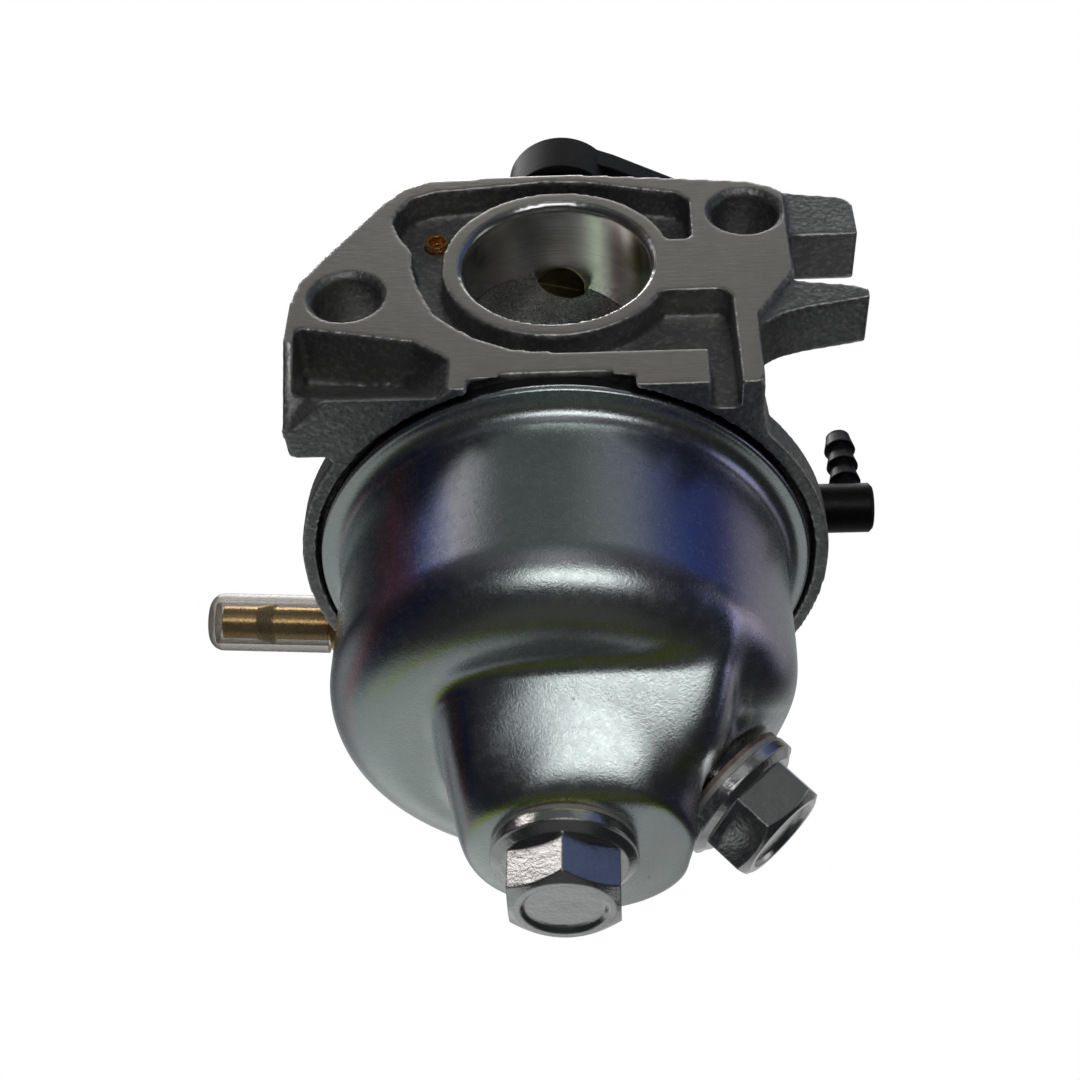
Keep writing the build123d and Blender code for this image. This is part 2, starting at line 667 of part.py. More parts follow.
lever_az = radians(22.0)   # direction of the choke lever seen from above
lever_dir = Vector(cos(lever_az), sin(lever_az), 0)
lever_hub_z = choke_boss_top + 0.3
lever_top = 29.5
lever_arm_t = 3.2
link_reach = 19.0          # shaft axis to the link hole
socket_r = 2.56
with BuildPart() as choke_lever:
    add(round_bar(at_z(lever_hub_z), 6.0, lever_top - lever_hub_z, (0, choke_y)))
    arm_plane = Plane(
        origin=(0, choke_y, lever_top - lever_arm_t), x_dir=lever_dir, z_dir=(0, 0, 1)
    )
    with BuildSketch(arm_plane):
        with BuildLine():
            Polyline(
                (0, -5.5), (4.4, -5.5), (13.0, -4.8), (link_reach, -4.0),
                (link_reach, 4.0), (13.0, 4.8), (4.4, 5.5), (0, 5.5), close=True,
            )
        make_face()
        with Locations((link_reach, 0)):
            Circle(4.15)
    extrude(amount=lever_arm_t)
    chamfer(choke_lever.faces().sort_by(Axis.Z)[-1].edges(), 0.35)
    # socket: round at the bottom, with two flats above
    add(round_bar(at_z(23), socket_r, 1.55, (0, choke_y)), mode=Mode.SUBTRACT)
    with BuildSketch(at_z(24.4)):
        with Locations((0, choke_y)):
            Circle(socket_r)
            Rectangle(10, flats_w + flats_fit, mode=Mode.INTERSECT)
    extrude(amount=4.9, mode=Mode.SUBTRACT)
    # hole for the control link
    add(round_bar(arm_plane.offset(-6.3), 1.6, 12, (link_reach, 0)), mode=Mode.SUBTRACT)
save("choke_lever", choke_lever.part)

# ------------------------------------------------------------------ throttle
throttle = plate_plane(throttle_y, throttle_rest)
throttle_taps = [(0, 4.5), (0, -4.5)]
save("throttle_shaft", plate_shaft(
    throttle, top=21.8, flat_half=9.6, tap_r=1.05, taps=throttle_taps, drive_z=18.3,
))

with BuildPart() as throttle_plate:
    add(plate_blank(throttle, throttle_r))
    add(round_bar(throttle.offset(3), 1.1, -6, *throttle_taps), mode=Mode.SUBTRACT)
save("throttle_plate", throttle_plate.part)

with BuildPart() as throttle_screws:
    add(round_bar(throttle.offset(0.95), 1.9, 1.2, *throttle_taps))
    # slots, then the shanks
    with BuildSketch(throttle.offset(2.2)):
        with Locations(*throttle_taps):
            Rectangle(3.0, 0.5)
    extrude(amount=-0.6, mode=Mode.SUBTRACT)
    add(round_bar(throttle.offset(1.0), 1.0, -3.0, *throttle_taps))
save("throttle_screws", throttle_screws.part)

save("throttle_seal", shaft_seal(throttle_boss_top, throttle_y))

# sheet-metal throttle lever: link arm to the right, stop ear at the front left
sheet_z = 18.4
lever_sheet_t = 1.5
throttle_link_x = 15.0
# (X, Y from the shaft axis)
throttle_lever_outline = [
    (-5.0, -4.6), (-12.6, -4.6), (-12.6, -1.8), (-5.0, 3.6), (0, 5.0),
    (4.0, 4.2), (throttle_link_x, 3.0), (throttle_link_x, -3.0), (4.0, -4.2), (0, -5.0),
]
with BuildPart() as throttle_lever:
    with BuildSketch(at_z(sheet_z)):
        with BuildLine():
            Polyline(*[(x, throttle_y + y) for x, y in throttle_lever_outline], close=True)
        make_face()
        with Locations((throttle_link_x, throttle_y)):
            Circle(3.0)
        with Locations((0, throttle_y)):
            Circle(socket_r, mode=Mode.SUBTRACT)
    extrude(amount=lever_sheet_t)
    # folded ear that meets the idle screw
    with BuildSketch(at_z(15.0)):
        with Locations((-9.8, idle_tip_y + lever_sheet_t / 2)):
            Rectangle(5.0, lever_sheet_t)
    extrude(amount=3.6)
    # flats that drive the shaft
    with BuildSketch(at_z(sheet_z)):
        with Locations((0, throttle_y)):
            Circle(2.6)
            Rectangle(10, flats_w + flats_fit, mode=Mode.SUBTRACT)
    extrude(amount=lever_sheet_t)
    # link hole
    add(round_bar(at_z(17), 1.25, 5, (throttle_link_x, throttle_y)), mode=Mode.SUBTRACT)
save("throttle_lever", throttle_lever.part)


# ----------------------------------------------- adjusting screws and springs
def coil_spring(start, direction, radius, wire, length, turns):
    """Open coil compression spring, from start along direction."""
    with BuildPart() as coil:
        with BuildLine() as path:
            Helix(
                pitch=(length - wire) / turns, height=length - wire, radius=radius,
                center=Vector(*start) + Vector(*direction) * (wire / 2), direction=direction,
            )
        with BuildSketch(Plane(origin=path.line @ 0, z_dir=path.line % 0)):
            Circle(wire / 2)
        sweep()
    return coil.part


def slotted_screw(base, shank, head_r, head_h, edge, slot_w, slot_depth):
    """Plain screw from its tip at base to a slotted head with a chamfered edge."""
    head_base = shank - 0.2
    with BuildPart() as screw:
        add(round_bar(base, 1.5, shank))
        add(round_bar(base.offset(head_base), head_r, head_h))
        end_face = screw.faces().sort_by(Axis(base.origin, base.z_dir))[-1]
        chamfer(end_face.edges(), edge)
        with BuildSketch(base.offset(head_base + head_h - slot_depth)):
            Rectangle(slot_w, 2 * head_r + 1)
        extrude(amount=2, mode=Mode.SUBTRACT)
    return screw.part


save("idle_speed_screw", slotted_screw(
    Plane(origin=(idle_x, idle_tip_y, idle_z), z_dir=(0, -1, 0)),
    shank=14.2, head_r=3.0, head_h=2.6, edge=0.4, slot_w=0.9, slot_depth=1.2,
))
save("idle_speed_spring", coil_spring(
    (idle_x, bracket_y - bracket_t / 2 - 0.1, idle_z), (0, -1, 0),
    radius=2.0, wire=0.6, length=6.8, turns=5,
))
save("mixture_screw", slotted_screw(
    Plane(origin=(-9.0, *mixture_at), z_dir=(-1, 0, 0)),
    shank=12.0, head_r=2.5, head_h=2.2, edge=0.35, slot_w=0.8, slot_depth=1.0,
))
save("mixture_spring", coil_spring(
    (mixture_face_x - 0.1, *mixture_at), (-1, 0, 0),
    radius=1.9, wire=0.5, length=4.1, turns=4,
))

# ------------------------------------------------------------ expansion plug
save("expansion_plug", round_bar(at_x(12.45), 2.55, 0.45, plug_at))

# ----------------------------------------------------------- float and valve
float_top = -25.6
float_h = 8.6
arm_half = 4.6             # half the width of the float arm
# float arm, side view (Y, Z)
arm_outline = [
    (35.0, float_top - 0.5), (43.6, float_top - 0.5), (44.2, float_pin_z),
    (41.4, float_pin_z), (41.0, -23.8), (35.0, -24.4),
]
with BuildPart() as float_part:
    add(round_bar(at_z(float_top - float_h), 18.6, float_h, bowl_at, hole=8.4))
    fillet(float_part.edges().filter_by(GeomType.CIRCLE), 0.8)
    # arm up to the hinge, and its eye
    add(prism(at_x(-arm_half), arm_outline, 2 * arm_half))
    add(round_bar(at_x(-arm_half), 1.75, 2 * arm_half, float_pin_at))
    add(round_bar(at_x(-9), 1.05, 18, float_pin_at), mode=Mode.SUBTRACT)
save("float", float_part.part)

save("float_hinge_pin", round_bar(at_x(-8.2), 1.0, 16.4, float_pin_at))

needle_at = (0, inlet_y)
with BuildPart() as needle_seat:
    add(round_bar(at_z(rim_z), 2.95, 4.1, needle_at))
    # needle bore and fuel hole
    add(round_bar(at_z(-19), 1.55, 3.4, needle_at), mode=Mode.SUBTRACT)
    add(round_bar(at_z(-19), 0.7, 5, needle_at), mode=Mode.SUBTRACT)
save("needle_seat", needle_seat.part)

needle_r = 1.5
with BuildPart() as float_needle:
    add(round_bar(at_z(-23.7), needle_r, 7.0, needle_at))
    # conical tip
    add(round_bar(at_z(-16.7), needle_r, 1.0, needle_at, taper=40))
save("float_needle", float_needle.part)
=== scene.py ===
"""Small-engine carburettor: CAD pieces with a pressed fuel bowl and a softened cast body.

The bore runs along +Y from the flange face at y = 0 to the engine-side face.
+Z is up, the fuel bowl hangs below, and the camera looks up from the front (-Y).
The frame is in metres; the bowl is worked out in millimetres.
"""

import json
import math

import bmesh
import bpy
import numpy as np
from mathutils import Matrix, Vector


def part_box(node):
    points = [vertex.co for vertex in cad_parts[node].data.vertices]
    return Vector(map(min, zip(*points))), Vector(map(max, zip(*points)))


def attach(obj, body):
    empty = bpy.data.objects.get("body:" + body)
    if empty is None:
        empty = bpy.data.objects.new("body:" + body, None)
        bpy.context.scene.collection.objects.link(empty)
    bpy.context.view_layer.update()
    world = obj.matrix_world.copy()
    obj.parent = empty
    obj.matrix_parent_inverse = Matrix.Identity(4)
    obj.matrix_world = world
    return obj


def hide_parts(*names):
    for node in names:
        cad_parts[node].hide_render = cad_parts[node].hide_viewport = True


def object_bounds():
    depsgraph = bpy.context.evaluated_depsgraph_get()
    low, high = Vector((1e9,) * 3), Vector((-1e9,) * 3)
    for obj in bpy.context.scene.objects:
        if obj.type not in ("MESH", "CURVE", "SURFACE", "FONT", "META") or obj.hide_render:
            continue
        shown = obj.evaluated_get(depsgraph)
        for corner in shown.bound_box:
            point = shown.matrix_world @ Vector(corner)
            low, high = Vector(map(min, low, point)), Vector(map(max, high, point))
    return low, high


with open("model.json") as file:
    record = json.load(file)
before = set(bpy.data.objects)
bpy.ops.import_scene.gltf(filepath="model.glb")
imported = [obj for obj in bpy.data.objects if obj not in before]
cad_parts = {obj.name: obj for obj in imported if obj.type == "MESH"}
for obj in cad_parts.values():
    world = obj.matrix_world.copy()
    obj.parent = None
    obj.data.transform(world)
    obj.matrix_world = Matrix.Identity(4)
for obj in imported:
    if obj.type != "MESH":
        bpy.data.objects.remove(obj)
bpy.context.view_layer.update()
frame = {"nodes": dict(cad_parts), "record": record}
nodes = frame["nodes"]
scene = bpy.context.scene
MM = 0.001

# ---------------------------------------------------------- bowl dimensions, mm
bowl_lo, bowl_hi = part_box("float_bowl")
BOWL_X = (bowl_lo.x + bowl_hi.x) / 2 * 1000
BOWL_Y = (bowl_lo.y + bowl_hi.y) / 2 * 1000
LIP_RADIUS = (bowl_hi.x - bowl_lo.x) / 2 * 1000
LIP_TOP = bowl_hi.z * 1000
LIP_UNDER = LIP_TOP - 1.0
SUMP_Z = bowl_lo.z * 1000  # bottom of the sump
SHELF_Z = SUMP_Z + 9.8  # floor of the drum, above the sump
BOWL_RADIUS = LIP_RADIUS - 2.5
FLOOR_FILLET = 6.6
SHEET = 0.9  # metal thickness
INNER_RADIUS = BOWL_RADIUS - SHEET
OUTER_ROLL = 1.9  # radii where the wall turns out into the lip
INNER_ROLL = 1.6
BOLT_HOLE_RADIUS = 3.2  # open middle of the sump floor

# Sump walls: a point on the wall (x, then y from SUMP_ORIGIN_Y) and its outward direction.
SUMP_ORIGIN_Y = BOWL_Y - 25.2
WALL_LEAN = math.radians(11.0)  # inwards towards the bottom
LEFT_WALLS = [
    (-12.5, 27.0, -1, 0),
    (-12.9, 15.4, -0.583, -0.813),
    (-10.5, 30.4, -0.873, 0.487),
]
BACK_AND_RIGHT_WALLS = [
    (0, 35.6, 0, 1),
    (13.0, 31.8, 0.488, 0.873),
    (17.2, 27.5, 0.715, 0.699),
    (16.2, 20.0, 1, 0.0),
]
FRONT_Y = 11.2  # sloping front of the sump, where it meets the shelf height
FRONT_OUT_Y, FRONT_OUT_Z = -0.82, -0.572

# Round bottom of the sump; the centre is given like the wall points.
KNOB_X, KNOB_Y, KNOB_RADIUS = 1.6, 27.7, 10.6
KNOB_FLARE = math.radians(12)

# The drain bolt's axis points down and out to the right; its seat is square to it.
DRAIN_TILT, DRAIN_TURN = math.radians(46.0), math.radians(15.0)
DRAIN_AXIS = np.array([
    math.sin(DRAIN_TILT) * math.cos(DRAIN_TURN),
    math.sin(DRAIN_TILT) * math.sin(DRAIN_TURN),
    -math.cos(DRAIN_TILT),
])
ACROSS_SEAT = np.array([-math.sin(DRAIN_TURN), math.cos(DRAIN_TURN), 0.0])
washer_lo, washer_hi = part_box("drain_bolt_washer")
WASHER_MIDDLE = (washer_lo + washer_hi) / 2 * 1000
SEAT = np.array(WASHER_MIDDLE) - DRAIN_AXIS * 0.5
PAD_RADIUS, PAD_DEPTH = 7.9, 8.0
SPOT_RADIUS = 8.0
CUT_WIDTH, CUT_SLOPE = 8.8, math.radians(38)

# --------------------------------------------------- cast body dimensions, metres
VOXEL = 0.0003
SMOOTH_ROUNDS = 3
KEPT_FACES = 0.34
BORE_RADIUS = 0.0094
BORE_START, BORE_END = 0.0009, 0.0135  # machined length along y
FACE_REACH, BORE_REACH = 0.00012, 0.00018  # how far points move back to true size
ENGINE_FACE_Y = next(
    mount["pos_m"][1]
    for mount in frame["record"]["mounts"]
    if mount["name"] == "engine_side_face"
)


# ------------------------------------------------------------------ mesh helpers
def mesh_object(name, verts, faces, smooth=True):
    mesh = bpy.data.meshes.new(name)
    mesh.from_pydata([tuple(vert) for vert in verts], [], [tuple(face) for face in faces])
    mesh.validate()
    if smooth:
        mesh.polygons.foreach_set("use_smooth", [True] * len(mesh.polygons))
    mesh.update()
    return add_object(name, mesh)


def add_object(name, data):
    obj = bpy.data.objects.new(name, data)
    scene.collection.objects.link(obj)
    return obj


def vertex_vectors(mesh, field):
    values = np.zeros(len(mesh.vertices) * 3, np.float32)
    mesh.vertices.foreach_get(field, values)
    return values.reshape(-1, 3)


def set_points(mesh, points):
    mesh.vertices.foreach_set("co", points.astype(np.float32).ravel())
    mesh.update()


def neighbour_mean(values, edges):
    """Mean over each vertex's neighbours, column by column."""
    count = len(values)
    start, end = edges[:, 0], edges[:, 1]
    total = np.zeros_like(values)
    for k in range(values.shape[1]):
        total[:, k] = (np.bincount(start, values[end, k], count)
                       + np.bincount(end, values[start, k], count))
    links = np.bincount(start, minlength=count) + np.bincount(end, minlength=count)
    return total / np.maximum(links, 1)[:, None]


def relax(points, edges, amount):
    return points + amount * (neighbour_mean(points, edges) - points)


def apply_modifiers(obj):
    depsgraph = bpy.context.evaluated_depsgraph_get()
    mesh = bpy.data.meshes.new_from_object(obj.evaluated_get(depsgraph))
    obj.modifiers.clear()
    obj.data = mesh


# ------------------------------------------------------------- pressed fuel bowl
# Shapes are distance fields: below zero is inside the metal's outer surface.
def soft_max(distances, blend):
    """Overlap of shapes, with rounded edges."""
    stacked = np.stack(distances)
    top = stacked.max(0)
    return top + blend * np.log(np.exp((stacked - top) / blend).sum(0))


def soft_min(first, second, blend):
    """Union of two shapes, with a fillet between them."""
    share = np.clip(0.5 + 0.5 * (second - first) / blend, 0, 1)
    return second * (1 - share) + first * share - blend * share * (1 - share)


def leaning_wall(x, y, z, wall):
    wall_x, wall_y, out_x, out_y = wall
    length = math.hypot(out_x, out_y)
    out_x, out_y = out_x / length, out_y / length
    outward = (x - wall_x) * out_x + (y - wall_y) * out_y
    return outward * math.cos(WALL_LEAN) - (z - (SHELF_Z + 1.0)) * math.sin(WALL_LEAN)


def drum_field(radius, z):
    """Upright cylinder with a rounded lower edge."""
    beyond = radius - (BOWL_RADIUS - FLOOR_FILLET)
    below = (SHELF_Z + FLOOR_FILLET) - z
    corner = np.hypot(np.maximum(beyond, 0), np.maximum(below, 0))
    return corner + np.minimum(np.maximum(beyond, below), 0) - FLOOR_FILLET


def sump_field(x, y, z, front):
    left = soft_max([leaning_wall(x, y, z, wall) for wall in LEFT_WALLS], blend=1.5)
    return soft_max(
        [
            soft_max([front, left], blend=2.3),
            *[leaning_wall(x, y, z, wall) for wall in BACK_AND_RIGHT_WALLS],
            SUMP_Z - z,
            z - (SHELF_Z + 5.0),
        ],
        blend=1.35,
    )


def bowl_field(points):
    x, y, z = points[:, 0], points[:, 1] - SUMP_ORIGIN_Y, points[:, 2]
    radius = np.hypot(points[:, 0] - BOWL_X, points[:, 1] - BOWL_Y)
    front = (y - FRONT_Y) * FRONT_OUT_Y + (z - SHELF_Z) * FRONT_OUT_Z
    sump = np.maximum(sump_field(x, y, z, front), radius - (BOWL_RADIUS - 0.4))
    field = soft_min(drum_field(radius, z), sump, blend=1.2)

    # pad behind the drain washer
    from_seat = points - SEAT
    height = from_seat @ DRAIN_AXIS
    off_axis = np.linalg.norm(from_seat - height[:, None] * DRAIN_AXIS, axis=1)
    pad = soft_max([off_axis - PAD_RADIUS, height, -height - PAD_DEPTH], blend=0.3)
    field = soft_min(field, pad, blend=2.2)

    # flat cut in the plane of the seat, ending in a sloping side
    side = (from_seat @ ACROSS_SEAT) - CUT_WIDTH - height * math.tan(CUT_SLOPE)
    cut = soft_max([-height, side * math.cos(CUT_SLOPE)], blend=0.5)
    field = soft_max([field, -cut], blend=1.1)

    # round bottom of the sump, let in only round the drain bolt
    knob_side = (np.hypot(x - KNOB_X, y - KNOB_Y) - KNOB_RADIUS
                 - (z - SUMP_Z) * math.tan(KNOB_FLARE))
    knob = soft_max([knob_side, SUMP_Z - z, z - (SHELF_Z + 4.0), front], blend=0.55)
    field = soft_min(field, knob, blend=2.6)
    spot = soft_max([-height, off_axis - SPOT_RADIUS], blend=0.3)
    return soft_max([field, -spot], blend=0.55)


def field_normal(points, step=0.02):
    slope = np.zeros_like(points)
    for k in range(3):
        ahead, behind = points.copy(), points.copy()
        ahead[:, k] += step
        behind[:, k] -= step
        slope[:, k] = bowl_field(ahead) - bowl_field(behind)
    return slope / np.linalg.norm(slope, axis=1, keepdims=True)


def pressed_surface(angles, rows=190, halvings=22):
    """Points where rays from inside the bowl, fanned out from straight down, leave it."""
    centre_z = SHELF_Z + 12.0
    centre = np.array([BOWL_X, BOWL_Y, centre_z])
    first = math.atan2(BOLT_HOLE_RADIUS, centre_z - SUMP_Z)
    tilts = np.linspace(first, math.radians(88), rows)
    tilt, turn = np.meshgrid(tilts, angles, indexing="ij")
    rays = np.stack(
        [np.sin(tilt) * np.cos(turn), np.sin(tilt) * np.sin(turn), -np.cos(tilt)], -1
    ).reshape(-1, 3)
    near, far = np.full(len(rays), 8.0), np.full(len(rays), 34.0)
    for _ in range(halvings):
        middle = (near + far) / 2
        inside = bowl_field(centre + rays * middle[:, None]) < 0
        near = np.where(inside, middle, near)
        far = np.where(inside, far, middle)
    return centre + rays * ((near + far) / 2)[:, None]


def lip_profile(wall_z):
    """(radius, z) up the straight wall, round the lip and back down the inside."""
    outer_turns = np.linspace(0.12, math.pi / 2, 9)
    inner_turns = np.linspace(math.pi / 2 - 0.15, 0, 7)
    up = [(BOWL_RADIUS, z) for z in np.linspace(wall_z + 0.6, LIP_UNDER - OUTER_ROLL, 22)]
    roll = [
        (BOWL_RADIUS + OUTER_ROLL - OUTER_ROLL * math.cos(turn),
         LIP_UNDER - OUTER_ROLL + OUTER_ROLL * math.sin(turn))
        for turn in outer_turns
    ]
    edge = [
        (LIP_RADIUS - 0.35, LIP_UNDER),
        (LIP_RADIUS - 0.1, LIP_UNDER + 0.1),
        (LIP_RADIUS, LIP_UNDER + 0.35),
        (LIP_RADIUS, LIP_TOP - 0.3),
        (LIP_RADIUS - 0.15, LIP_TOP),
        (INNER_RADIUS + INNER_ROLL, LIP_TOP),
    ]
    inner_roll = [
        (INNER_RADIUS + INNER_ROLL - INNER_ROLL * math.cos(turn),
         LIP_TOP - INNER_ROLL + INNER_ROLL * math.sin(turn))
        for turn in inner_turns
    ]
    down_z = np.linspace(LIP_TOP - INNER_ROLL - 1.0, wall_z + 0.6, 12)
    return up + roll + edge + inner_roll + [(INNER_RADIUS, z) for z in down_z]


def make_bowl(columns=320):
    angles = np.linspace(0, 2 * math.pi, columns, endpoint=False)
    surface = pressed_surface(angles)
    outer = surface.reshape(-1, columns, 3)
    inner = (surface - field_normal(surface) * SHEET).reshape(-1, columns, 3)
    rings = np.array([
        [(BOWL_X + radius * math.cos(a), BOWL_Y + radius * math.sin(a), z) for a in angles]
        for radius, z in lip_profile(outer[-1, :, 2].mean())
    ])
    # the last row joins the first, round the edge of the bolt hole
    grid = np.concatenate([outer, rings, inner[::-1]])
    row, col = np.meshgrid(np.arange(len(grid)), np.arange(columns), indexing="ij")
    here, above = row * columns, (row + 1) % len(grid) * columns
    beside = (col + 1) % columns
    faces = np.stack([here + col, here + beside, above + beside, above + col], -1)
    obj = mesh_object("pressed_bowl", grid.reshape(-1, 3) * MM, faces.reshape(-1, 4))
    bm = bmesh.new()
    bm.from_mesh(obj.data)
    bmesh.ops.recalc_face_normals(bm, faces=bm.faces)
    bm.to_mesh(obj.data)
    bm.free()
    return obj


bowl = make_bowl()
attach(bowl, "body")
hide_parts("float_bowl")


# --------------------------------------------------------------------- cast body
def soften_edges(mesh):
    """Smooth the mesh and store how far each point sank as its 'wear'; points that rose, in
    hollows, get negative values, which the cast material uses for painted shade.
    """
    edges = np.zeros(len(mesh.edges) * 2, np.int32)
    mesh.edges.foreach_get("vertices", edges)
    edges = edges.reshape(-1, 2)
    sharp = vertex_vectors(mesh, "co").astype(float)
    points = sharp
    for i in range(SMOOTH_ROUNDS):
        points = relax(points, edges, amount=0.5)
        if i % 2:
            points = relax(points, edges, amount=-0.2)
    set_points(mesh, points)
    wear = ((sharp - points) * vertex_vectors(mesh, "normal")).sum(1) / VOXEL
    for _ in range(2):
        wear = 0.5 * wear + 0.5 * neighbour_mean(wear[:, None], edges)[:, 0]
    attribute = mesh.attributes.new("wear", "FLOAT", "POINT")
    attribute.data.foreach_set("value", wear.astype(np.float32))


def restore_machined(mesh):
    """Bring the two flange faces and the bore back to true size."""
    points = vertex_vectors(mesh, "co").astype(float)
    normal_y = vertex_vectors(mesh, "normal")[:, 1]
    for face_y, outward in ((0.0, -1), (ENGINE_FACE_Y, 1)):
        near = np.abs(points[:, 1] - face_y) < FACE_REACH
        points[near & (normal_y * outward > 0.9), 1] = face_y
    y = points[:, 1]
    radius = np.hypot(points[:, 0], points[:, 2])
    bore = (np.abs(radius - BORE_RADIUS) < BORE_REACH) & (y > BORE_START) & (y < BORE_END)
    for k in (0, 2):
        points[bore, k] *= BORE_RADIUS / radius[bore]
    set_points(mesh, points)


def make_body():
    mesh = nodes["carb_body"].data.copy()
    mesh.name = "cast_body"
    obj = add_object("cast_body", mesh)
    mesh.materials.clear()
    weld = obj.modifiers.new("weld", "WELD")
    weld.merge_threshold = 2e-6
    remesh = obj.modifiers.new("remesh", "REMESH")
    remesh.mode = "VOXEL"
    remesh.voxel_size = VOXEL
    remesh.adaptivity = 0.0
    apply_modifiers(obj)
    soften_edges(obj.data)
    fewer = obj.modifiers.new("fewer", "DECIMATE")
    fewer.ratio = KEPT_FACES
    apply_modifiers(obj)
    obj.data.polygons.foreach_set("use_smooth", [True] * len(obj.data.polygons))
    restore_machined(obj.data)
    return obj


body = make_body()
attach(body, "body")
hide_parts("carb_body")


# ------------------------------------------------------------------ node helpers
class Value:
    """An output socket; arithmetic on it adds math nodes."""

    def __init__(self, graph, socket):
        self.graph = graph
        self.socket = socket

    def __add__(self, other):
        return self.graph.calc("ADD", self, other)

    def __sub__(self, other):
        return self.graph.calc("SUBTRACT", self, other)

    def __rsub__(self, other):
        return self.graph.calc("SUBTRACT", other, self)

    def __mul__(self, other):
        return self.graph.calc("MULTIPLY", self, other)

    def __truediv__(self, other):
        return self.graph.calc("DIVIDE", self, other)

    def remap(self, span, to=(0.0, 1.0), kind="LINEAR"):
        """Carry the two ends of span to the two values of to."""
        inputs = {"Value": self, "From Min": span[0], "From Max": span[1],
                  "To Min": to[0], "To Max": to[1]}
        return self.graph.add("ShaderNodeMapRange", inputs, "Result", interpolation_type=kind)

    def fade(self, span):
        """Rise smoothly from 0 at the first end of span to 1 at the second."""
        return self.remap(span, kind="SMOOTHSTEP")

    def ramp(self, *stops):
        """Colour ramp; each stop is (position, colour)."""
        color = self.graph.add("ShaderNodeValToRGB", {0: self})
        elements = color.socket.node.color_ramp.elements
        while len(elements) < len(stops):
            elements.new(0.5)
        for element, (position, rgb) in zip(elements, stops):
            element.position = position
            element.color = tuple(rgb) + (1.0,)
        return color

    def split(self):
        outputs = self.graph.add("ShaderNodeSeparateXYZ", {0: self}).socket.node.outputs
        return [Value(self.graph, socket) for socket in outputs]

    def dot(self, direction):
        inputs = {0: self, 1: direction}
        return self.graph.add("ShaderNodeVectorMath", inputs, "Value", operation="DOT_PRODUCT")


class Graph:
    """Node tree of a material or world."""

    def __init__(self, owner, output_kind, coordinates):
        owner.use_nodes = True
        self.tree = owner.node_tree
        self.tree.nodes.clear()
        self.output = self.tree.nodes.new(output_kind)
        self.position = self.add("ShaderNodeTexCoord", {}, coordinates)

    def add(self, kind, inputs, output=0, **settings):
        """Add a node, fill its inputs and return one of its outputs."""
        node = self.tree.nodes.new(kind)
        for name, setting in settings.items():
            setattr(node, name, setting)
        for key, value in inputs.items():
            self.put(node.inputs[key], value)
        return Value(self, node.outputs[output])

    def put(self, socket, value):
        if isinstance(value, Value):
            self.tree.links.new(value.socket, socket)
        elif isinstance(value, (int, float)):
            socket.default_value = value
        else:
            alpha = (1.0,) if len(value) < len(socket.default_value) else ()
            socket.default_value = tuple(value) + alpha

    def show(self, shader):
        self.put(self.output.inputs[0], shader)

    def calc(self, operation, first, second=0.0):
        return self.add("ShaderNodeMath", {0: first, 1: second}, operation=operation)

    def mix(self, under, over, amount, blend="MIX"):
        inputs = {0: amount, 6: under, 7: over}
        return self.add("ShaderNodeMix", inputs, 2, data_type="RGBA", blend_type=blend)


class Material(Graph):
    """Material with a Principled shader, textured by object position."""

    def __init__(self, name):
        self.material = bpy.data.materials.new(name)
        super().__init__(self.material, "ShaderNodeOutputMaterial", "Object")
        self.surface = self.add("ShaderNodeBsdfPrincipled", {})
        self.show(self.surface)

    def fill(self, inputs):
        """Fill inputs of the Principled shader and return the material."""
        for name, value in inputs.items():
            self.put(self.surface.socket.node.inputs[name], value)
        return self.material

    def geometry(self, output):
        return self.add("ShaderNodeNewGeometry", {}, output)

    def noise(self, scale, detail=4.0, roughness=0.6, stretch=None):
        place = self.position
        if stretch:
            place = self.add("ShaderNodeMapping", {"Scale": stretch, "Vector": place})
        inputs = {"Scale": scale, "Detail": detail, "Roughness": roughness, "Vector": place}
        return self.add("ShaderNodeTexNoise", inputs, "Fac")

    def cells(self, scale, output="Distance"):
        inputs = {"Scale": scale, "Vector": self.position}
        return self.add("ShaderNodeTexVoronoi", inputs, output)

    def bump(self, height, distance, bevel=None):
        inputs = {"Distance": distance, "Strength": 1.0, "Height": height}
        if bevel:
            inputs["Normal"] = self.add("ShaderNodeBevel", {"Radius": bevel}, samples=4)
        return self.add("ShaderNodeBump", inputs)


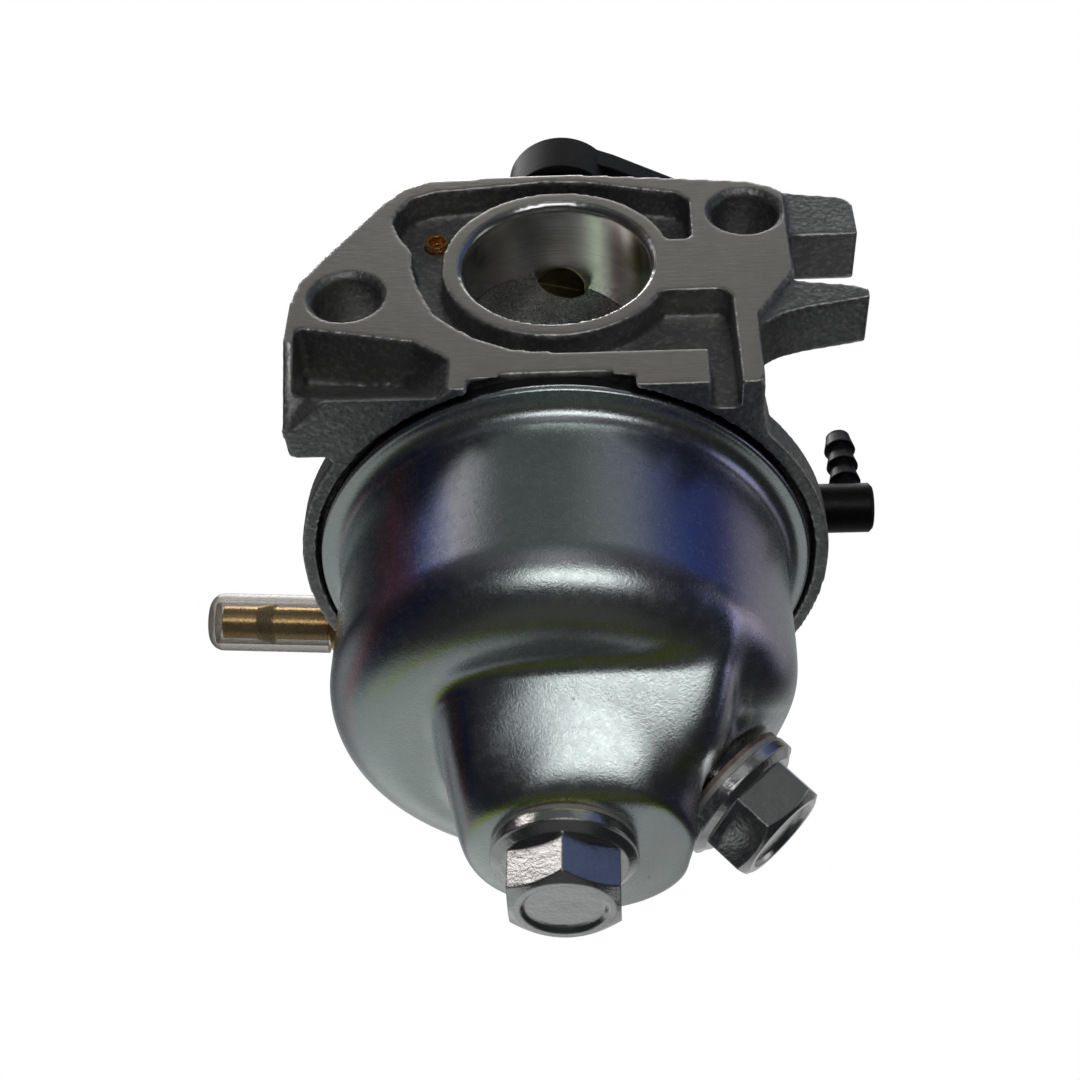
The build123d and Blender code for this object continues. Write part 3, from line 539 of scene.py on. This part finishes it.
# --------------------------------------------------------------------- materials
def cast_material():
    """Grainy cast skin, with scratched flange faces and a ringed bore."""
    mat = Material("cast_aluminium")
    x, y, z = mat.position.split()
    normal_y = mat.geometry("Normal").split()[1]

    # masks: machined faces, bore wall, worn edges, and hollows that get painted shade
    facing = mat.calc("ABSOLUTE", normal_y).fade(span=(0.93, 0.985))
    near_front = y.remap(span=(0.00012, 0.00003))
    near_back = y.remap(span=(ENGINE_FACE_Y - 0.00012, ENGINE_FACE_Y - 0.00003))
    face = facing * mat.calc("MAXIMUM", near_front, near_back)
    bore = mat.calc("SQRT", x * x + z * z).fade(span=(0.01025, 0.0100))
    sunk = mat.add("ShaderNodeAttribute", {}, "Fac", attribute_name="wear")
    ragged = mat.noise(scale=900.0, detail=3.0)
    wear = (sunk + (ragged - 0.5) * 0.16).fade(span=(0.045, 0.15))
    painted_hollow_shade = sunk.fade(span=(-0.05, -0.2))

    # skin of the casting
    big = mat.noise(scale=110.0, detail=5.0)
    fine = mat.noise(scale=2600.0, roughness=0.7)
    grit = mat.cells(scale=1700.0)
    grain = mat.cells(scale=2400.0, output="Color").split()[0]
    skin = big.ramp(
        (0.3, (0.24, 0.24, 0.236)), (0.5, (0.30, 0.30, 0.295)), (0.72, (0.37, 0.367, 0.36))
    )
    bright = grain.remap(span=(0.6, 1.0), to=(0.0, 0.4))
    skin = mat.mix(skin, over=(0.66, 0.655, 0.64), amount=bright)
    # painted shade: the skin is darkened towards near-black in hollows
    skin = mat.mix(skin, over=(0.10, 0.10, 0.10), amount=painted_hollow_shade * 0.5)
    skin = mat.mix(skin, over=(0.72, 0.71, 0.69), amount=wear)

    # machined faces: long fine scratches across
    streak = mat.noise(scale=1.0, detail=3.0, stretch=(500, 1, 3200))
    machined = streak.ramp((0.25, (0.52, 0.495, 0.455)), (0.75, (0.66, 0.63, 0.58)))
    stain = mat.noise(scale=260.0).remap(span=(0.45, 0.75), to=(0.0, 0.3))
    machined = mat.mix(machined, over=(0.47, 0.445, 0.41), amount=stain)
    machined = mat.mix(machined, over=(0.92, 0.91, 0.89), amount=wear * 0.8)

    # bore: tool rings, and coloured stripes that run lengthways, which are painted reflections
    rings = mat.noise(scale=1.0, detail=3.0, roughness=0.7, stretch=(20, 5200, 20))
    lapped = rings.ramp((0.3, (0.55, 0.55, 0.54)), (0.7, (0.82, 0.81, 0.80)))
    painted_bore_reflections = mat.calc("ARCTAN2", x, z).remap(span=(0.15, 1.35)).ramp(
        (0.0, (1, 1, 1)), (0.22, (0.78, 1.0, 0.82)), (0.36, (1, 1, 1)),
        (0.48, (1.0, 0.80, 0.86)), (0.62, (1, 1, 1)), (0.75, (1.0, 0.86, 0.68)),
        (0.9, (0.9, 1.0, 0.92)), (1.0, (1, 1, 1)),
    )
    lapped = mat.mix(lapped, over=painted_bore_reflections, amount=0.85, blend="MULTIPLY")
    color = mat.mix(mat.mix(skin, over=machined, amount=face), over=lapped, amount=bore)

    # roughness: cast skin, then the faces, then the bore
    rough = fine * 0.22 + 0.36 - wear * 0.12
    rough = rough * (1.0 - face) + face * 0.42
    rough = rough * (1.0 - bore) + bore * rings.remap(span=(0.2, 0.8), to=(0.12, 0.26))

    # relief: weights of each texture in the height
    cast_height = fine * 0.6 + grit * 0.5 + big * 0.35
    cast_height = cast_height * (1.0 - mat.calc("MAXIMUM", face, bore))
    face_height = (streak * 0.16 + fine * 0.12) * face
    height = cast_height + (face_height + rings * 0.12 * bore)
    return mat.fill({"Base Color": color, "Metallic": 0.92, "Roughness": rough,
                     "Normal": mat.bump(height, distance=0.00011)})


def zinc_bowl_material():
    """Zinc plate with painted reflection colours and painted light that follow how the sheet
    turns.
    """
    mat = Material("zinc_plate_bowl")
    z = mat.position.split()[2]
    normal_x, normal_y, normal_z = mat.geometry("Normal").split()
    wobble = mat.noise(scale=70.0, detail=3.0, roughness=0.5) - 0.5
    # painted reflections: tints picked by which way the sheet faces sideways, kept to forward
    # faces
    tone = normal_x * 0.5 + 0.5 + wobble * 0.16
    side = tone.ramp(
        (0.00, (0.62, 0.70, 0.70)), (0.12, (0.58, 0.66, 0.70)), (0.18, (0.66, 0.36, 0.42)),
        (0.25, (0.24, 0.32, 0.72)), (0.32, (0.62, 0.64, 0.72)), (0.44, (0.60, 0.68, 0.67)),
        (0.56, (0.60, 0.67, 0.66)), (0.67, (0.60, 0.62, 0.70)), (0.76, (0.38, 0.43, 0.79)),
        (0.84, (0.45, 0.43, 0.74)), (0.92, (0.66, 0.62, 0.74)), (1.00, (0.62, 0.70, 0.72)),
    )
    to_front = normal_y.fade(span=(0.15, -0.30))
    side = mat.mix(under=(0.60, 0.67, 0.68), over=side, amount=to_front)
    # painted light: faces turned downwards are made paler, as if lit from below
    pale = mat.noise(scale=90.0, detail=3.0).ramp(
        (0.3, (0.70, 0.77, 0.76)), (0.7, (0.78, 0.82, 0.80))
    )
    color = mat.mix(side, over=pale, amount=normal_z.fade(span=(-0.45, -0.95)))

    # painted reflections at the turn between wall and floor: greenish first, then purplish
    painted_green_reflection = normal_z.fade(span=(-0.70, -0.88)) * normal_z.fade(span=(-0.985, -0.93))
    painted_green_reflection = painted_green_reflection * normal_y.fade(span=(-0.08, -0.28))
    low = z.fade(span=((SHELF_Z + 0.9) * MM, (SHELF_Z + 0.05) * MM))
    painted_green_reflection = painted_green_reflection * (low * 0.62 + 0.13)
    color = mat.mix(color, over=(0.60, 0.74, 0.12), amount=painted_green_reflection)
    painted_violet_reflection = normal_z.fade(span=(-0.12, -0.25)) * normal_z.fade(span=(-0.5, -0.34))
    color = mat.mix(color, over=(0.66, 0.58, 0.70), amount=painted_violet_reflection * 0.4)

    # bright grains, broad dull patches and a few small specks
    fine = mat.noise(scale=4200.0, detail=3.0, roughness=0.7)
    middle = mat.noise(scale=900.0, detail=3.0)
    grain = mat.cells(scale=3600.0, output="Color").split()[0]
    bright = grain.remap(span=(0.75, 1.0), to=(0.0, 0.35))
    color = mat.mix(color, over=(0.85, 0.87, 0.86), amount=bright)
    dull = mat.noise(scale=45.0, detail=2.0).remap(span=(0.5, 0.8), to=(0.0, 0.07))
    color = mat.mix(color, over=(0.45, 0.47, 0.48), amount=dull)
    speck = mat.cells(scale=260.0).remap(span=(0.055, 0.03))
    color = mat.mix(color, over=(0.25, 0.26, 0.27), amount=speck * 0.5)
    rough = middle.remap(span=(0.3, 0.7), to=(0.20, 0.27)) + fine * 0.05
    height = fine * 0.55 + middle * 0.25
    return mat.fill({"Base Color": color, "Metallic": 1.0, "Roughness": rough,
                     "Normal": mat.bump(height, distance=0.000035)})


def zinc_bolt_material():
    mat = Material("zinc_plate_bolt")
    big = mat.noise(scale=260.0)
    fine = mat.noise(scale=3200.0, detail=3.0)
    color = big.ramp(
        (0.3, (0.74, 0.73, 0.73)), (0.55, (0.88, 0.87, 0.86)), (0.75, (0.82, 0.78, 0.78))
    )
    rough = big.remap(span=(0.25, 0.75), to=(0.10, 0.20))
    height = fine * 0.25 + big * 0.9
    return mat.fill({"Base Color": color, "Metallic": 1.0, "Roughness": rough,
                     "Normal": mat.bump(height, distance=0.00008, bevel=0.00028)})


def washer_material(name, origin, direction):
    """Folded washer: a brown fibre layer against the bowl, dull plated metal outside."""
    mat = Material(name)
    big = mat.noise(scale=420.0)
    fine = mat.noise(scale=3000.0, roughness=0.7)
    fibre = big.ramp(
        (0.3, (0.10, 0.075, 0.065)), (0.5, (0.24, 0.17, 0.14)), (0.72, (0.46, 0.36, 0.31))
    )
    skin = big.ramp((0.3, (0.42, 0.40, 0.39)), (0.7, (0.66, 0.63, 0.61)))
    level = mat.position.dot(direction) - float(np.dot(origin, direction))
    color = mat.mix(fibre, over=skin, amount=level.remap(span=(0.00040, 0.00052)))
    rough = fine.remap(span=(0.3, 0.7), to=(0.35, 0.6))
    height = fine + big * 0.5
    return mat.fill({"Base Color": color, "Metallic": 0.55, "Roughness": rough,
                     "Normal": mat.bump(height, distance=0.00005, bevel=0.00015)})


def metal_material(name, dark, light, rough=(0.2, 0.34)):
    mat = Material(name)
    big = mat.noise(scale=300.0)
    fine = mat.noise(scale=2700.0, detail=3.0)
    height = fine * 0.5 + big * 0.5
    return mat.fill({"Base Color": big.ramp((0.3, dark), (0.7, light)), "Metallic": 1.0,
                     "Roughness": fine.remap(span=(0.3, 0.7), to=rough),
                     "Normal": mat.bump(height, distance=0.00003, bevel=0.00012)})


def plastic_material(name, base, rough, bevel=0.0003):
    mat = Material(name)
    big = mat.noise(scale=160.0)
    fine = mat.noise(scale=2600.0, roughness=0.7)
    lighter = tuple(min(1, channel * 1.9 + 0.004) for channel in base)
    height = fine * 0.8 + big * 0.3
    return mat.fill({"Base Color": big.ramp((0.3, base), (0.75, lighter)),
                     "Specular IOR Level": 0.22,
                     "Roughness": fine.remap(span=(0.3, 0.7), to=rough),
                     "Normal": mat.bump(height, distance=0.00004, bevel=bevel)})


def cap_material():
    """Smoky clear plastic, denser where it turns away."""
    mat = Material("smoky_clear_cap")
    big = mat.noise(scale=170.0, detail=3.0)
    fine = mat.noise(scale=1500.0, detail=3.0)
    facing = mat.add("ShaderNodeLayerWeight", {"Blend": 0.45}, "Facing")
    return mat.fill({
        "Base Color": big.ramp((0.3, (0.40, 0.33, 0.23)), (0.7, (0.54, 0.455, 0.335))),
        "Roughness": fine.remap(span=(0.3, 0.7), to=(0.22, 0.34)),
        "Alpha": facing.remap(span=(0.05, 0.8), to=(0.15, 0.95)),
        "Normal": mat.bump(big + fine * 0.2, distance=0.00008),
    })


def floor_material():
    """Pale glowing floor, seen only by the camera and only from its front side."""
    mat = Material("pale_floor")
    color = mat.noise(scale=6.0, detail=3.0).ramp(
        (0.3, (0.86, 0.86, 0.86)), (0.7, (0.90, 0.90, 0.90))
    )
    mat.fill({"Base Color": color, "Roughness": 0.8, "Specular IOR Level": 0.1,
              "Emission Color": (1.0, 1.0, 1.0), "Emission Strength": 0.34})
    camera_ray = mat.add("ShaderNodeLightPath", {}, "Is Camera Ray")
    seen = camera_ray * (1.0 - mat.geometry("Backfacing"))
    clear = mat.add("ShaderNodeBsdfTransparent", {})
    mat.show(mat.add("ShaderNodeMixShader", {0: seen, 1: clear, 2: mat.surface}))
    return mat.material


cast = cast_material()
zinc_bowl = zinc_bowl_material()
zinc_bolt = zinc_bolt_material()
washer_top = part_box("bowl_bolt_washer")[1].z
bowl_washer = washer_material(
    "fibre_washer_bowl", origin=(0.0, 0.0, washer_top), direction=(0.0, 0.0, -1.0)
)
drain_washer = washer_material(
    "fibre_washer_drain", origin=tuple(SEAT * MM), direction=tuple(DRAIN_AXIS)
)
brass = metal_material("turned_brass", dark=(0.60, 0.37, 0.13), light=(0.80, 0.55, 0.23))
jet_brass = metal_material("jet_brass", dark=(0.52, 0.22, 0.07), light=(0.86, 0.46, 0.18))
plate = metal_material("stamped_plate", dark=(0.70, 0.69, 0.62), light=(0.92, 0.90, 0.82))
# painted shade: the shaft's olive metal is made very dark for the shade of its hole in the
# bore wall
shaft = metal_material(
    "olive_metal_painted_shade", dark=(0.10, 0.095, 0.05), light=(0.22, 0.20, 0.12), rough=(0.28, 0.42)
)
steel = metal_material("bright_steel", dark=(0.45, 0.45, 0.45), light=(0.68, 0.68, 0.67))
black = plastic_material("black_plastic", base=(0.0030, 0.0030, 0.0034), rough=(0.30, 0.46))
rubber = plastic_material(
    "seal_rubber", base=(0.010, 0.010, 0.010), rough=(0.55, 0.7), bevel=0.00015
)
float_black = plastic_material(
    "float_plastic", base=(0.015, 0.015, 0.016), rough=(0.4, 0.55)
)
cap = cap_material()

looks = {
    "bowl_gasket": rubber, "bowl_bolt": zinc_bolt, "bowl_bolt_washer": bowl_washer,
    "drain_bolt": zinc_bolt, "drain_bolt_washer": drain_washer, "drain_boss": steel,
    "main_jet": brass, "emulsion_tube": brass, "pilot_jet": black,
    "pilot_air_jet": jet_brass, "fuel_inlet_nipple": brass, "nipple_cap": cap,
    "vent_elbow": black, "choke_shaft": shaft, "choke_plate": plate,
    "choke_screw": steel, "choke_seal": rubber, "choke_lever": black,
    "throttle_shaft": shaft, "throttle_plate": plate, "throttle_screws": steel,
    "throttle_seal": rubber, "throttle_lever": zinc_bolt, "idle_speed_screw": zinc_bolt,
    "idle_speed_spring": steel, "mixture_screw": brass, "mixture_spring": steel,
    "expansion_plug": steel, "float": float_black, "float_hinge_pin": steel,
    "needle_seat": brass, "float_needle": brass,
}
for name, material in looks.items():
    slots = nodes[name].data.materials
    slots.clear()
    slots.append(material)
bowl.data.materials.append(zinc_bowl)
body.data.materials.clear()
body.data.materials.append(cast)


# ------------------------------------------------------------------------ camera
def add_camera():
    data = bpy.data.cameras.new("camera")
    data.sensor_width = 36.0
    data.lens = 55.6055
    data.clip_start, data.clip_end = 0.005, 10.0
    camera = add_object("camera", data)
    place = Vector((4.75191649, -103.62024726, -134.71320607)) * MM
    right = Vector((0.99883725, 0.04686727, 0.01129613))
    down = Vector((-0.02363498, 0.68027753, -0.73257346))
    forward = Vector((-0.04201822, 0.73145468, 0.68059424))
    turn = Matrix((right, -down, -forward)).transposed()
    camera.matrix_world = Matrix.Translation(place) @ turn.to_4x4()
    scene.camera = camera


add_camera()

# ------------------------------------------------------------------------- floor
FLOOR_HALF = 4
floor_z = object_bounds()[0].z
corners = [(-1, -1), (1, -1), (1, 1), (-1, 1)]
floor = mesh_object(
    "floor",
    [(x * FLOOR_HALF, y * FLOOR_HALF, floor_z) for x, y in corners],
    [(0, 1, 2, 3)],
    smooth=False,
)
floor.data.materials.append(floor_material())

# ------------------------------------------------------------------------- world
# Round panels of light: direction, inner and outer angle in degrees, colour, strength.
PANELS = [
    ((-0.45, 0.75, -0.50), 18, 38, (0.93, 1.0, 0.98), 0.25),  # pale table below, behind
    ((0.30, 0.68, -0.67), 8, 21, (0.95, 1.0, 1.0), 0.24),
    ((0.0, -0.85, 0.50), 18, 60, (0.93, 1.0, 0.97), 0.068),  # dim room in front
    ((0.33, -0.65, 0.68), 4, 16, (1.0, 1.0, 0.96), 0.12),
    ((0.0, -0.10, -1.0), 12, 34, (1.0, 1.0, 1.0), 0.034),
    ((0.0, -1.0, 0.10), 5, 19, (0.96, 1.0, 0.99), 0.20),
    ((1.0, -0.08, 0.03), 6, 18, (1.0, 1.0, 1.0), 0.55),  # fill from the right
    ((0.66, -0.36, 0.66), 4, 30, (0.25, 0.40, 1.0), 0.11),
    ((-0.59, -0.39, 0.69), 3, 14, (1.0, 0.98, 0.95), 0.5),  # small window, upper left
    ((-0.80, -0.20, 0.56), 4, 26, (0.8, 0.45, 0.7), 0.05),
    ((0.0, 0.70, 0.70), 15, 45, (1.0, 1.0, 1.0), 0.24),
    ((0.0, 0.05, 1.0), 8, 32, (1.0, 1.0, 1.0), 1.4),  # top light
    ((0.0, 1.0, 0.10), 12, 46, (1.0, 1.0, 1.0), 0.28),  # back wall
    ((-0.86, 0.51, 0.10), 8, 26, (1.0, 0.99, 0.98), 0.20),
    ((0.84, 0.35, 0.42), 12, 30, (0.98, 0.99, 1.0), 0.22),
]
AMBIENT = (0.014, 0.015, 0.016)


def round_panel(sky, direction, inner, outer, colour, strength):
    span = (math.cos(math.radians(outer)), math.cos(math.radians(inner)))
    inside = sky.position.dot(Vector(direction).normalized()).fade(span)
    glow = tuple(channel * strength for channel in colour)
    return sky.mix(under=(0, 0, 0), over=glow, amount=inside)


def softbox(sky, direction, halves, softs, strength):
    """Soft-edged rectangle, level across; halves and softs are (width, height) degrees."""
    ahead = Vector(direction).normalized()
    across = Vector((0, 0, 1)).cross(ahead).normalized()
    depth = sky.position.dot(ahead)
    divisor = sky.calc("MAXIMUM", depth, 0.02)  # kept clear of zero
    fades = []
    for axis, half, soft in zip((across, ahead.cross(across)), halves, softs):
        # ABSOLUTE ignores its second input, which stays at the node's own 0.5
        offset = sky.calc("ABSOLUTE", sky.position.dot(axis) / divisor, 0.5)
        edges = (math.tan(math.radians(half + soft)), math.tan(math.radians(half - soft)))
        fades.append(offset.fade(edges))
    return fades[0] * strength * fades[1] * sky.calc("GREATER_THAN", depth, 0.05)


def make_world():
    """White to the camera; panels of light to everything else."""
    world = bpy.data.worlds.new("studio")
    scene.world = world
    sky = Graph(world, "ShaderNodeOutputWorld", "Generated")
    light = softbox(
        sky, direction=(0.10, -0.905, -0.415), halves=(20, 9.0), softs=(6, 2.2), strength=1.9
    )
    for panel in PANELS:
        light = sky.mix(light, round_panel(sky, *panel), amount=1.0, blend="ADD")
    light = sky.mix(light, AMBIENT, amount=1.0, blend="ADD")
    camera_ray = sky.add("ShaderNodeLightPath", {}, "Is Camera Ray")
    lit = sky.add("ShaderNodeBackground", {"Color": light, "Strength": 1.0})
    seen = sky.add("ShaderNodeBackground", {"Color": (1, 1, 1), "Strength": 1.0})
    sky.show(sky.add("ShaderNodeMixShader", {0: camera_ray, 1: lit, 2: seen}))


make_world()


# ------------------------------------------------------------------------ lights
def area_light(name, where, size, power, colour=(1, 1, 1), glossy=True):
    """Disk light aimed at the middle of the carburettor."""
    data = bpy.data.lights.new(name, "AREA")
    data.shape, data.size, data.energy, data.color = "DISK", size, power, colour
    light = bpy.data.objects.new(name, data)
    light.location = where
    aim = Vector((0.0, 0.02, -0.02)) - Vector(where)
    light.rotation_mode = "QUATERNION"
    light.rotation_quaternion = aim.to_track_quat("-Z", "Y")
    scene.collection.objects.link(light)
    light.visible_camera = False
    light.visible_glossy = glossy
    return light


area_light("key", where=(0.10, -0.55, 0.10), size=0.22, power=0.35, glossy=False)
area_light("top", where=(-0.15, 0.10, 0.60), size=0.35, power=1.5)
card = area_light(
    "card_left", where=(-0.2, -0.08, 0.15), size=0.13, power=0.045, colour=(1.0, 0.97, 0.93)
)
# the card lights the two bolts and nothing else
bolts = bpy.data.collections.new("bolts_lit_by_card")
for name in ("bowl_bolt", "drain_bolt"):
    bolts.objects.link(nodes[name])
card.light_linking.receiver_collection = bolts
card.light_linking.blocker_collection = bolts

scene.view_settings.view_transform = "Standard"
scene.view_settings.look = "None"
